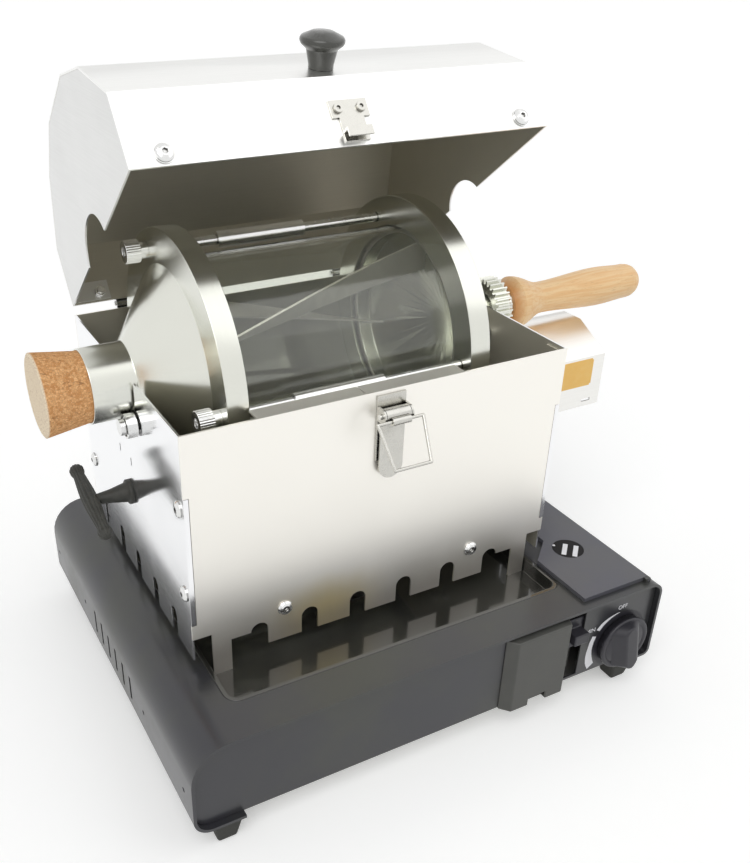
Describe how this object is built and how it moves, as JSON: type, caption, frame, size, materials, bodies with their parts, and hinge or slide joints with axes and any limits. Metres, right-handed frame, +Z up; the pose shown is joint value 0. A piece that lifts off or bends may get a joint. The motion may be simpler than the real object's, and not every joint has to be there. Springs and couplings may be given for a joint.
{
  "type": "home coffee bean roaster",
  "caption": "Glass drum coffee roaster: a hinged-lid stainless box with a motor-turned drum, cork stopper and wooden handle, standing in the drip pan of a portable gas stove.",
  "frame": {"origin": "under the middle of the whole object's bounding box, on the plane that the stove's feet stand on", "axes": "+X to the right along the drum from the cork to the wooden handle, +Y to the back, +Z up"},
  "size_m": [0.453, 0.291, 0.4113],
  "materials": {
    "stove_paint": "dark grey baked enamel with a slight blue cast, half gloss",
    "pan_enamel": "glossy black enamel",
    "moulded_black": "black moulded plastic, satin",
    "moulded_grey": "dark grey moulded plastic",
    "box_steel": "stainless sheet, fine brushed, straw and violet heat tint low down",
    "lid_steel": "stainless sheet, fine brushed",
    "drum_steel": "turned stainless, brushed round the axis",
    "bright_steel": "bright plated steel",
    "dull_steel": "plain steel",
    "turned_aluminium": "turned and knurled aluminium",
    "cast_aluminium": "cast aluminium, hidden and guessed",
    "burner_brass": "brass, hidden and guessed",
    "drum_glass": "clear glass, looking dark grey against the box",
    "silicone": "white rubber, hidden and guessed",
    "foot_rubber": "black rubber",
    "beech": "oiled beech",
    "cork": "agglomerated cork",
    "handle_iron": "black painted cast iron",
    "ceramic_white": "white insulator, hidden and guessed",
    "pinion_brass": "brass, hidden and guessed"
  },
  "bodies": {
    "stove": {"stove_shell": "stove_paint", "base_pan": "dull_steel", "front_panel": "stove_paint", "stove_feet": "foot_rubber", "drip_pan": "pan_enamel", "burner_head": "cast_aluminium", "burner_cap": "burner_brass", "igniter": "ceramic_white", "mixing_tube": "dull_steel", "gas_valve": "cast_aluminium", "bay_divider": "dull_steel", "lever_surround": "moulded_grey"},
    "knob": {"control_knob": "moulded_black", "knob_spindle": "dull_steel"},
    "lever": {"cartridge_lever": "moulded_black"},
    "bay_lid": {"cartridge_lid": "stove_paint", "lid_window": "moulded_black"},
    "roaster_box": {"front_plate": "box_steel", "back_plate": "box_steel", "left_plate": "box_steel", "right_plate": "box_steel", "box_screws": "bright_steel", "hinge_lower_leaves": "bright_steel", "steel_pins": "bright_steel", "latch_base": "bright_steel", "roller_axles": "bright_steel", "side_handle": "handle_iron", "motor_cover": "lid_steel", "gear_motor": "dull_steel", "motor_standoffs": "bright_steel", "switch_body": "moulded_black", "power_inlet": "moulded_black"},
    "latch_arm": {"latch_lever": "bright_steel"},
    "bail": {"latch_bail": "bright_steel"},
    "left_front_bearing": {"left_front_roller": "bright_steel"},
    "left_rear_bearing": {"left_rear_roller": "bright_steel"},
    "right_front_bearing": {"right_front_roller": "bright_steel"},
    "right_rear_bearing": {"right_rear_roller": "bright_steel"},
    "motor_output": {"motor_shaft": "dull_steel", "pinion": "pinion_brass"},
    "rocker": {"rocker_switch": "moulded_black"},
    "drum": {"drum_cone": "drum_steel", "end_cap": "drum_steel", "glass_tube": "drum_glass", "glass_seals": "silicone", "tie_rods": "bright_steel", "rod_sleeves": "turned_aluminium", "thumb_nuts": "turned_aluminium", "mixing_vanes": "dull_steel", "drum_gear": "dull_steel", "handle_shank": "bright_steel", "wood_handle": "beech"},
    "stopper": {"cork_stopper": "cork"},
    "lid": {"lid_hood": "lid_steel", "lid_left_end": "lid_steel", "lid_right_end": "lid_steel", "lid_screws": "bright_steel", "lid_knob": "moulded_black", "lid_catch": "bright_steel", "hinge_upper_leaves": "bright_steel"}
  },
  "joints": [
    {"name": "roaster_lift", "type": "slide", "parent": "stove", "child": "roaster_box", "axis": [0, 0, 1], "range_m": [0, 0.12]},
    {"name": "lid_hinge", "type": "hinge", "parent": "roaster_box", "child": "lid", "pos_m": [-0.0495, 0.12595, 0.2345], "axis": [-1, 0, 0], "range_deg": [-38.9, 46]},
    {"name": "drum_spin", "type": "hinge", "parent": "roaster_box", "child": "drum", "pos_m": [-0.0495, 0.02545, 0.226], "axis": [1, 0, 0], "continuous": true},
    {"name": "pinion_spin", "type": "hinge", "parent": "roaster_box", "child": "motor_output", "pos_m": [0.0835, 0.02545, 0.1985], "axis": [1, 0, 0], "continuous": true},
    {"name": "left_front_bearing_spin", "type": "hinge", "parent": "roaster_box", "child": "left_front_bearing", "pos_m": [-0.181, 0.00125, 0.20777], "axis": [1, 0, 0], "continuous": true},
    {"name": "left_rear_bearing_spin", "type": "hinge", "parent": "roaster_box", "child": "left_rear_bearing", "pos_m": [-0.181, 0.04965, 0.20777], "axis": [1, 0, 0], "continuous": true},
    {"name": "right_front_bearing_spin", "type": "hinge", "parent": "roaster_box", "child": "right_front_bearing", "pos_m": [0.0728, 0.00964, 0.21408], "axis": [1, 0, 0], "continuous": true},
    {"name": "right_rear_bearing_spin", "type": "hinge", "parent": "roaster_box", "child": "right_rear_bearing", "pos_m": [0.0728, 0.04127, 0.21408], "axis": [1, 0, 0], "continuous": true},
    {"name": "cork_pull", "type": "slide", "parent": "drum", "child": "stopper", "axis": [-1, 0, 0], "range_m": [0, 0.04]},
    {"name": "latch_arm_swing", "type": "hinge", "parent": "roaster_box", "child": "latch_arm", "pos_m": [-0.0495, -0.07755, 0.221], "axis": [-1, 0, 0], "range_deg": [0, 70]},
    {"name": "bail_swing", "type": "hinge", "parent": "latch_arm", "child": "bail", "pos_m": [-0.0495, -0.08305, 0.2195], "axis": [-1, 0, 0], "range_deg": [-25, 95]},
    {"name": "knob_turn", "type": "hinge", "parent": "stove", "child": "knob", "pos_m": [0.106, -0.13155, 0.0385], "axis": [0, -1, 0], "range_deg": [0, 120]},
    {"name": "lever_slide", "type": "slide", "parent": "stove", "child": "lever", "axis": [0, 0, -1], "range_m": [0, 0.018]},
    {"name": "bay_lid_hinge", "type": "hinge", "parent": "stove", "child": "bay_lid", "pos_m": [0.1245, 0.00445, 0.0805], "axis": [0, 1, 0], "range_deg": [0, 80]},
    {"name": "rocker_tilt", "type": "hinge", "parent": "roaster_box", "child": "rocker", "pos_m": [0.17, -0.00255, 0.173], "axis": [0, -1, 0], "range_deg": [0, 18]}
  ],
  "couplings": [
    {"joint": "pinion_spin", "follows": "drum_spin", "ratio": -2.6667},
    {"joint": "left_front_bearing_spin", "follows": "drum_spin", "ratio": -3},
    {"joint": "left_rear_bearing_spin", "follows": "drum_spin", "ratio": -3},
    {"joint": "right_front_bearing_spin", "follows": "drum_spin", "ratio": -1.6},
    {"joint": "right_rear_bearing_spin", "follows": "drum_spin", "ratio": -1.6}
  ]
}
